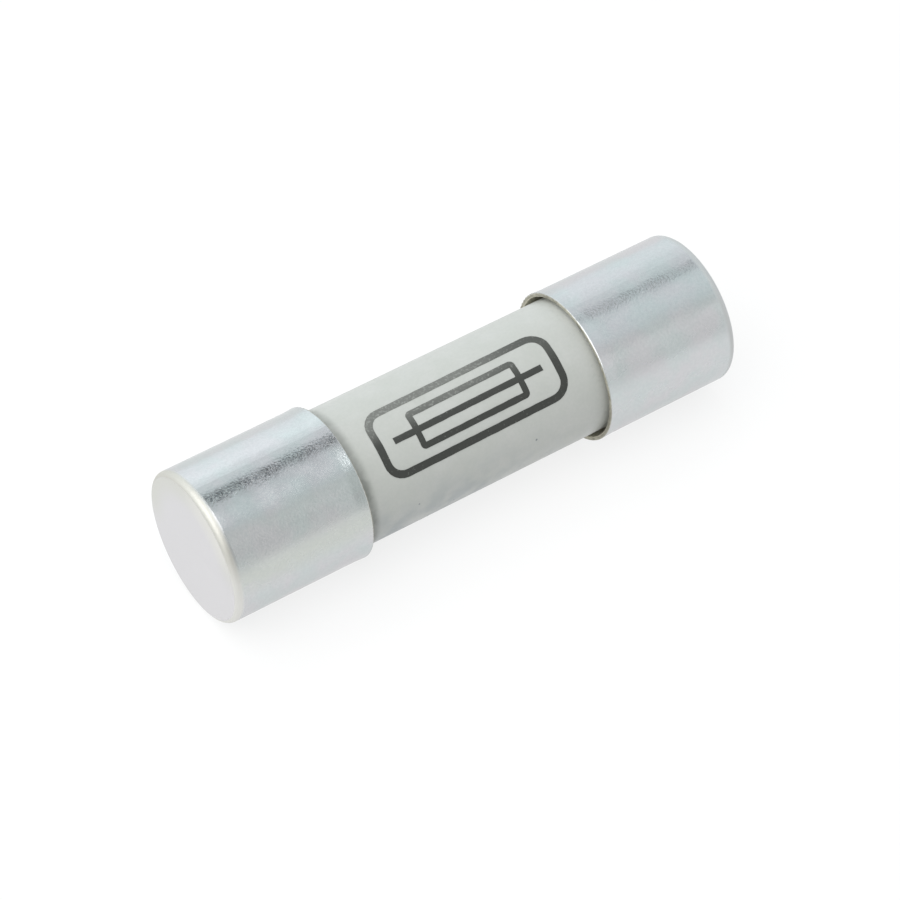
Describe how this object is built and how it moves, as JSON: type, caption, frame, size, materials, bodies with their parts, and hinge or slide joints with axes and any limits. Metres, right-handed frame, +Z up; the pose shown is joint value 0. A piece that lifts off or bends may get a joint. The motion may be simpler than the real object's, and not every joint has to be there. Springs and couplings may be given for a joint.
{
  "type": "cartridge fuse",
  "caption": "Cylindrical cartridge fuse with a white ceramic body, plated metal end caps and sand-filled notched strip elements; protects a circuit from overcurrent.",
  "frame": {"origin": "middle of the fuse, on its axis, which is the centre of its bounding box", "axes": "+X along the fuse's axis towards the right cap; the fuse lies on its side with +Z up; the two strip elements stand on edge in front of and behind the axis along Y"},
  "size_m": [0.038, 0.0104, 0.0104],
  "materials": {
    "ceramic": "satin",
    "contact_plating": "satin",
    "inner_plating": "satin",
    "washer_fibre": "matte",
    "plug_plastic": "matte",
    "element_copper": "satin",
    "tin": "satin",
    "quartz_sand": "matte"
  },
  "bodies": {
    "root": {"ceramic_tube": "ceramic", "outer_cap_left": "contact_plating", "outer_cap_right": "contact_plating", "inner_cap_left": "inner_plating", "inner_cap_right": "inner_plating", "end_washer_left": "washer_fibre", "end_washer_right": "washer_fibre", "filling_plug_left": "plug_plastic", "filling_plug_right": "plug_plastic", "fuse_element_front": "element_copper", "tin_spot_front": "tin", "fuse_element_rear": "element_copper", "tin_spot_rear": "tin", "tab_solder_left_front": "tin", "tab_solder_left_rear": "tin", "tab_solder_right_front": "tin", "tab_solder_right_rear": "tin", "quartz_sand": "quartz_sand"}
  },
  "joints": []
}
